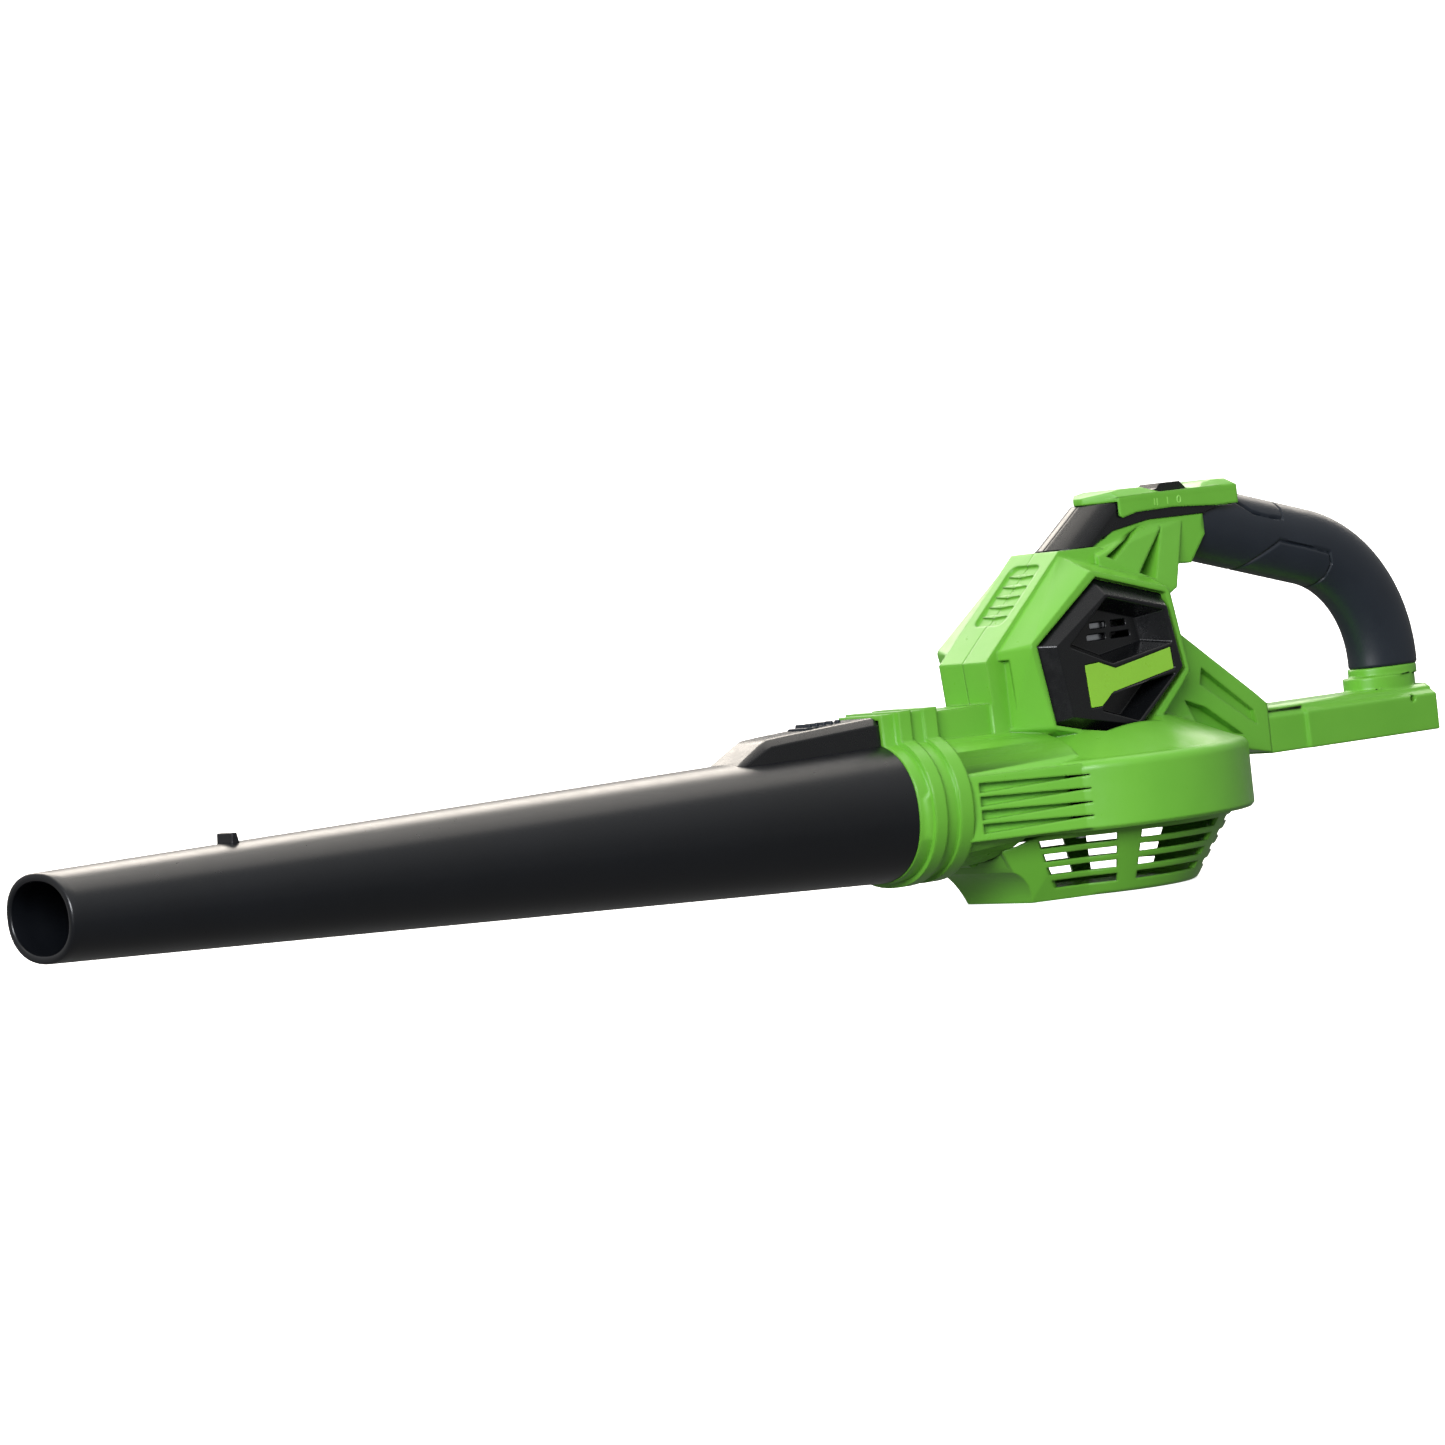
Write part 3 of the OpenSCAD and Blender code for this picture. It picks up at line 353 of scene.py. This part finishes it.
ring_turn = np.linspace(0, 2 * np.pi, 192, endpoint=False)
print("points round the tube", len(ring_turn))

# %% [markdown]
# ## The blow tube
#
# The tube is blown from black polypropylene: an oval that narrows and rises towards the
# mouth, with a thick rim there that stiffens it. The walls run straight, so a profile of
# stations says it all: down the outside, round the lip, back up the inside, and round the
# spigot in the collar. The rim's round edge is in the lip's stations, so no modifier is
# needed.

# %% Blow tube
mouth_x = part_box("nozzle_tube")[0].x / MM
spigot_x, collar_x = -125.0, -166.4
wall = 1.8
mouth_half, mouth_centre_z = (35.2, 24.5), 74.5      # the oval at the mouth
growth, centre_fall = (11.6, 17), 10                 # how it changes up to the collar
# each station: x, and how far the wall is set in from the tube's outer face
outside = [(collar_x, 0)] + [(x, 0) for x in np.linspace(-175, mouth_x + 6, 60)]
lip = [(mouth_x + 1.4, 0.0), (mouth_x + 0.45, 0.35), (mouth_x + 0.05, 1.1), (mouth_x, 2.4),
       (mouth_x + 0.1, 3.7), (mouth_x + 0.5, 4.3), (mouth_x + 1.4, 4.6), (mouth_x + 12, wall)]
inside = [(x, wall) for x in np.linspace(mouth_x + 20, collar_x + 0.4, 40)]
spigot = [(spigot_x, 5.2), (spigot_x, 3.4), (collar_x + 0.8, 3.4), (collar_x + 0.2, 3.2)]
stations = np.array(outside + lip + inside + spigot)
run = np.clip((stations[:, 0] - mouth_x) / (collar_x - mouth_x), 0, 1)[:, None]
y, z = oval(mouth_half[0] + growth[0] * run - stations[:, 1:],
            mouth_half[1] + growth[1] * run - stations[:, 1:], ring_turn[None, :])
points = np.stack([np.broadcast_to(stations[:, :1], y.shape), y,
                   z + mouth_centre_z - centre_fall * run], axis=-1)
blow_tube = grid_piece("blow_tube", points, tube_pp, "nozzle", along=True,
                       smooth=50)
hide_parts("nozzle_tube")
print("tube", round(spigot_x - mouth_x), "mm long,", len(blow_tube.data.polygons), "faces")

# %% [markdown]
# ## The latch housing
#
# On top of the tube sits a ramped housing with chamfered shoulders that guides the latch. Its
# section is one eight-cornered outline whose height follows the ramp, so it is a loft. Its
# well for the pad is cut with a boolean, because the pad's leaf shape is easier to subtract
# than to weave into the grid.

# %% Latch housing
def shoulder_ring(x, top, foot, wide, chamfer):
    """Eight corners in the plane at x: foot, sides drawn in by 1 mm, chamfers, and the flat top."""
    half = np.array([[-wide, foot], [-wide + 0.8, top - chamfer], [-wide + chamfer, top - 0.8],
                     [-wide + chamfer + 2, top]])
    ring = np.concatenate([half, (half * [-1, 1])[::-1]])
    return np.concatenate([np.full((8, 1), x), ring], axis=1)


# each step of the ramp: x, top, foot, half width and chamfer
ramp = [(-272, 101.5, 94.0, 17.6, 1.6), (-262, 107.3, 94.5, 17.9, 3), (-250, 114.0, 95, 18.2, 4),
        (-245, 116.3, 95, 18.4, 4.4), (-232, 117.3, 95, 18.5, 4.6), (-200, 119.0, 95, 18.5, 4.6),
        (-172, 120.4, 95, 18.5, 4.6), (-166.4, 120.5, 95, 18.5, 4.6)]
housing = grid_piece("latch_housing", np.stack([shoulder_ring(*step) for step in ramp]), black_abs,
                     "nozzle", smooth=30)
# a long triangle with a blunt point, in X and Y
pad_outline = np.array([[-213, -8.8], [-178.5, -1.6], [-178.5, 1.6], [-213, 8.8]])
well_floor, above_housing, well_play = 110.2, 130, 1.05
well_prism = prism(pad_outline * [1.0, well_play], well_floor, above_housing, "z")
well = grid_piece("well_cutter", well_prism, black_abs, "nozzle")
cut = housing.modifiers.new("well", "BOOLEAN")
cut.object, cut.operation, cut.solver = well, "DIFFERENCE", "EXACT"
meshed(housing, 30)
bpy.data.objects.remove(well)
softened(housing, 0.7)
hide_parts("nozzle_tube")
print("latch housing faces", len(housing.data.polygons))

# %% [markdown]
# ## The thumb pad, its spring, and the small parts of the tube
#
# The pad is moulded rubber with five ribs that get shorter towards its point, and it stands
# on a strip of spring steel folded to a V. When the pad goes down, the strip flattens. A tongue
# behind the housing goes into the collar's lobe, and a stop near the mouth could hold an end
# nozzle. All are short prisms, and a small radius on their edges is enough at this size.

# %% Thumb pad, spring, tongue and stop
pad = grid_piece("thumb_pad", prism(pad_outline, 115.6, 119.6, "z"), grip_tpe, "latch")
softened(pad, 0.5)
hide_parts("latch_button")
rib_count, rib_foot, rib_top = 5, 118.8, 121.6
for k in range(rib_count):
    x = -209 + k * 6.2
    reach = 6.9 - k * 1.25
    outline = [[x, rib_foot], [x + 0.6, rib_top], [x + 2.2, rib_top], [x + 2.8, rib_foot]]
    rib = grid_piece("pad_rib_%d" % k, prism(outline, -reach, reach), grip_tpe, "latch")
    softened(rib, 0.4)
    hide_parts("latch_button")
leaf_outline = [[-211, 110.3], [-195, 110.3], [-195, 110.7], [-209, 110.7], [-209, 111.0],
                [-195, 115.0], [-195, 115.4], [-196.5, 115.4], [-211, 111.3]]
leaf = grid_piece("leaf_spring", prism(leaf_outline, -3, 3), zinc_steel, "nozzle")
softened(leaf, 0.08, 2)
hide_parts("latch_spring")
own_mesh(leaf)
tongue_outline = [[-168, 99], [-137, 99], [-135.6, 101], [-135.6, 114.5], [-139, 117.6],
                  [-168, 117.6]]
tongue = grid_piece("latch_tongue", prism(tongue_outline, -16.2, 16.2), tube_pp, "nozzle")
softened(tongue, 0.8)
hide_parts("nozzle_tube")
stop_outline = [[-606, 97], [-605.2, 106], [-601.8, 106], [-600, 97]]
stop = grid_piece("stop_nub", prism(stop_outline, -8, 8), tube_pp, "nozzle")
softened(stop, 0.7)
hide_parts("nozzle_tube")
print("pad ribs", rib_count, "leaf corners", len(leaf_outline))

# %% [markdown]
# ## The soft grip
#
# The grip is a skin of soft elastomer moulded over the handle: it runs straight, falls by 15
# degrees, and bends down to the foot. Two thin grooves on each side frame its inlays. The
# skin is a section carried along a line and an arc, and a groove is a place where the skin
# sinks by its distance from a drawn line, so the grooves turn with the skin and need no
# cutting. Both ends are drawn in a little, and the front lies flat under the switch cover.

# %% Grip skin
half_high, half_wide, bend = 23.3, 17.25, 78.5
tilt = math.radians(15)
start_x, bend_x = 96.0, 188.0
groove_depth, groove_half = 1.7, 1.0
rim_in, rim_over = 0.8, 1.2     # how far an end is drawn in, and over what length
seat_x, seat_z = 124.3, 219.85  # the flat under the rear of the switch cover
foot_z = 108.55


def line_z(x):
    """Height of the straight part's middle: it falls by the tilt from 208.2 mm at x = 115."""
    return 208.2 - math.tan(tilt) * (x - 115)


centre = np.array([bend_x - bend * math.sin(tilt), line_z(bend_x) - bend * math.cos(tilt)])
straight = (bend_x - start_x) / math.cos(tilt)
arc = bend * (math.pi / 2 - tilt)
drop = centre[1] - foot_z
along = np.linspace(0, straight + arc + drop, 380)
heading = tilt + np.clip(along - straight, 0, arc) / bend
on_line = np.minimum(along, straight)
path_x = np.where(along < straight, start_x + on_line * math.cos(tilt),
                  centre[0] + bend * np.sin(heading))
path_z = np.where(along < straight, line_z(start_x) - on_line * math.sin(tilt),
                  centre[1] + bend * np.cos(heading)) - np.clip(along - straight - arc, 0, None)
grip_turn = np.linspace(0, 2 * np.pi, 176, endpoint=False)


def grip_points(inset):
    """The section's oval, set in by the inset, stands across the path: y is sideways, and the
    other half goes along (sin h, cos h) in X and Z, where h is the path's heading."""
    wide, high = oval(half_wide - inset, half_high - inset, grip_turn[None, :])
    wide, high = np.broadcast_arrays(wide, high)
    return np.stack([path_x[:, None] + high * np.sin(heading)[:, None], wide,
                     path_z[:, None] + high * np.cos(heading)[:, None]], axis=-1)


def distance_to_line(points, line):
    """Shortest distance in X and Z from each point to a line of straight stretches."""
    nearest = np.full(points.shape[:2], np.inf)
    for a, b in zip(line[:-1], line[1:]):
        a, d = np.array(a, float), np.array(b, float) - np.array(a, float)
        t = np.clip(((points[..., [0, 2]] - a) @ d) / (d @ d), 0, 1)
        apart = np.linalg.norm(points[..., [0, 2]] - a - t[..., None] * d, axis=-1)
        nearest = np.minimum(nearest, apart)
    return nearest


skin = grip_points(np.zeros((len(along), len(grip_turn))))
upper_groove = [(119, 231), (122, 226), (127, 222), (139, 213.5), (150, 210), (163, 207.5),
                (164.5, 213), (163.5, 222), (162, 236)]
lower_groove = [(122, 174), (127, 178), (142, 186), (158, 194), (178, 189), (197, 183),
                (198, 176), (194, 168), (184, 158)]
sink = sum(groove_depth * np.clip(1 - (distance_to_line(skin, g) / groove_half) ** 2, 0, 1)
           for g in (upper_groove, lower_groove))
rim = sum(rim_in * np.clip(1 - from_end / rim_over, 0, 1)[:, None]
          for from_end in (along, along[-1] - along))
skin = grip_points(sink + rim)
skin[..., 2] = np.where((skin[..., 0] < seat_x) & (skin[..., 2] > seat_z), seat_z, skin[..., 2])
grip = grid_piece("grip_skin", skin, grip_tpe, "housing", smooth=60)
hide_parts("grip")
print("grip skin", round(along[-1]), "mm along,", len(grip.data.polygons), "faces")

# %% [markdown]
# ## Marks beside the switch
#
# The slide has three settings, and each has a plain raised mark on the cover's side: two
# bars for fast, one bar for slow, and a ring for off. They are moulded with the cover, so they
# share its plastic; they are given a lighter green as a painted highlight, standing in for the
# light their edges catch. A bar is a stadium outline pushed out, and the ring is a circle
# carried round an oval, which is cleaner than text turned into a mesh.

# %% Raised marks
cover_side = -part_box("switch_cover")[0].y / MM
mark_z = 226.6
bar_long, bar_wide = 3.6, 0.9
ring_x, ring_half, ring_bead, ring_proud = 77, (1.3, 2.1), 0.42, 0.35


def stadium(x, z, length, width):
    """Half circles of the bar's width round two points, joined by straight sides."""
    t = np.linspace(0, np.pi, 9)
    top = np.stack([x + width / 2 * np.cos(t), z + length / 2 + width / 2 * np.sin(t)], axis=-1)
    return np.concatenate([top, np.array([2 * x, 2 * z]) - top])


def mark_bar(name, x, side):
    """A bar from 0.5 mm inside the cover's side to 0.25 mm outside it."""
    outline = stadium(x, mark_z, bar_long, bar_wide)
    piece = grid_piece(name, prism(outline, side * (cover_side - 0.5), side * (cover_side + 0.25)),
                       mark_green_painted_highlight, "housing")
    return softened(piece, 0.12, 2)


for side, tag in ((-1, "left"), (1, "right")):
    for k, x in enumerate((57.6, 59.8, 68.0)):
        mark_bar("mark_%s_%d" % (tag, k), x, side)
    t, u = np.meshgrid(np.linspace(0, 2 * np.pi, 32, endpoint=False),
                       np.linspace(0, 2 * np.pi, 10, endpoint=False), indexing="ij")
    off_ring = np.stack([ring_x + (ring_half[0] + ring_bead * np.cos(u)) * np.cos(t),
                         side * (cover_side + ring_proud * np.sin(u)),
                         mark_z + (ring_half[1] + ring_bead * np.cos(u)) * np.sin(t)], axis=-1)
    grid_piece("mark_%s_off" % tag, off_ring, mark_green_painted_highlight, "housing", along=True)
print("cover side at", round(cover_side, 1), "mm")

# %% [markdown]
# ## The floor sweep
#
# A pale sheet of paper runs under the object and curves up behind it, so no horizon shows.
# It glows a little, so that it stays white without a lamp of its own, and it is kept out of
# reflections, because a white floor would wash out the plastics. It is a profile of a line,
# an arc and a line, carried sideways.

# %% Floor sweep
turn_in, lift = math.radians(36), math.radians(2)    # where the camera stands
back = np.array([-math.sin(turn_in) * math.cos(lift), -math.cos(turn_in) * math.cos(lift),
                 math.sin(lift)])
level = np.array([back[0], back[1], 0]) / math.hypot(back[0], back[1])
side_way = np.array([math.cos(turn_in), -math.sin(turn_in), 0])
aim = np.array([-0.265, 0.0, 0.129])
bend_r, wall_at, front_at, sheet_high = 0.9, 2.2, -9.0, 6.0
t = np.linspace(0, np.pi / 2, 24)
curve = np.stack([wall_at - bend_r + bend_r * np.sin(t), bend_r - bend_r * np.cos(t)], axis=-1)
profile = np.concatenate([[[front_at, 0.0]], curve, [[wall_at, sheet_high]]])
across = np.linspace(-7, 7, 15)
foot = np.array([aim[0], aim[1], 0.0])
sweep = (foot + across[None, :, None] * side_way - profile[:, None, :1] * level
         + profile[:, None, 1:] * [0, 0, 1])
index = np.arange(sweep.shape[0] * sweep.shape[1]).reshape(sweep.shape[:2])
quads = np.stack([index[:-1, :-1], index[:-1, 1:], index[1:, 1:], index[1:, :-1]], axis=-1)
floor_mesh = bpy.data.meshes.new("studio_sweep")
floor_mesh.from_pydata(sweep.reshape(-1, 3).tolist(), [], quads.reshape(-1, 4).tolist())
floor_mesh.shade_smooth()
floor = bpy.data.objects.new("studio_sweep", floor_mesh)
bpy.context.scene.collection.objects.link(floor)
paper = bpy.data.materials.new("backdrop_paper")
paper.use_nodes = True
tree = paper.node_tree
fibre = add(tree, "TexNoise", {"Vector": (add(tree, "TexCoord"), "Object"), "Scale": 400.0,
                               "Detail": 2.0})
shade = add(tree, "MapRange", {"Value": (fibre, "Fac"), "To Min": 0.90, "To Max": 0.96})
sheet = tree.nodes["Principled BSDF"]
tree.links.new(shade.outputs["Result"], sheet.inputs["Base Color"])
sheet.inputs["Roughness"].default_value = 0.9
sheet.inputs["Emission Color"].default_value = (1, 1, 1, 1)
sheet.inputs["Emission Strength"].default_value = 0.8
floor_mesh.materials.append(paper)
floor.visible_glossy = False
floor.visible_diffuse = False
print("sweep", len(floor_mesh.polygons), "faces")

# %% [markdown]
# ## Light
#
# Most of the light comes from a large panel above the camera and a little to its left. A
# soft panel overhead and a strip behind the object draw the long warm highlight along the top
# of the tube. The sky is brighter at the top than at the bottom, so undersides stay dark.

# %% Lights
def panel(name, where, wide, high, power, tint):
    """A rectangular lamp at where, turned to face the middle of the object."""
    lamp = bpy.data.lights.new(name, "AREA")
    lamp.shape, lamp.size, lamp.size_y = "RECTANGLE", wide, high
    lamp.energy, lamp.color = power, linear(tint)[:3]
    holder = bpy.data.objects.new(name, lamp)
    bpy.context.scene.collection.objects.link(holder)
    holder.location = where
    holder.rotation_euler = (Vector(aim) - Vector(where)).to_track_quat("-Z", "Y").to_euler()
    return holder


panel("overhead_softbox", aim + np.array([0, 0, 1.7]) - 0.5 * level, 2.6, 1.2, 14, "#FFF8EE")
panel("far_strip", aim + np.array([0, 0, 1.05]) - 1.7 * level, 3.0, 0.7, 38, "#FFF6EA")
panel("front_fill", aim + 2.6 * back - 0.5 * side_way + [0, 0, 1.0], 1.8, 1.2, 104, "#F8FAFF")
world = bpy.data.worlds.new("studio")
bpy.context.scene.world = world
world.use_nodes = True
tree = world.node_tree
sky = add(tree, "SeparateXYZ", {"Vector": (add(tree, "TexCoord"), "Generated")})
glow = add(tree, "MapRange", {"Value": (sky, "Z"), "From Min": -0.25, "From Max": 0.9,
                              "To Min": 0.17, "To Max": 0.7})
tree.links.new(glow.outputs["Result"], tree.nodes["Background"].inputs["Strength"])
tree.nodes["Background"].inputs["Color"].default_value = (1, 1, 1, 1)
bpy.context.scene.view_settings.view_transform = "Standard"
bpy.context.scene.view_settings.look = "None"
print("lamps", len(bpy.data.lights))

# %% [markdown]
# ## Camera
#
# A long lens stands well back, so the proportions stay true. The camera is rolled, which
# tips the tool down at the mouth while it stands level in its own frame. Its matrix is
# built from three directions, because a roll is hard to read in Euler angles.

# %% Camera
roll, stand_back = math.radians(6.3), 3.5
right = side_way
upright = np.cross(back, right)
cam_right = right * math.cos(roll) - upright * math.sin(roll)
cam_up = right * math.sin(roll) + upright * math.cos(roll)
lens = bpy.data.cameras.new("studio_camera")
lens.sensor_width, lens.lens = 36.0, 151.7
lens.clip_end = 50
camera = bpy.data.objects.new("studio_camera", lens)
bpy.context.scene.collection.objects.link(camera)
spot = aim + stand_back * back
rows = [[cam_right[k], cam_up[k], back[k], spot[k]] for k in range(3)]
camera.matrix_world = Matrix(rows + [[0, 0, 0, 1]])
bpy.context.scene.camera = camera
print("camera", spot.round(3).tolist())
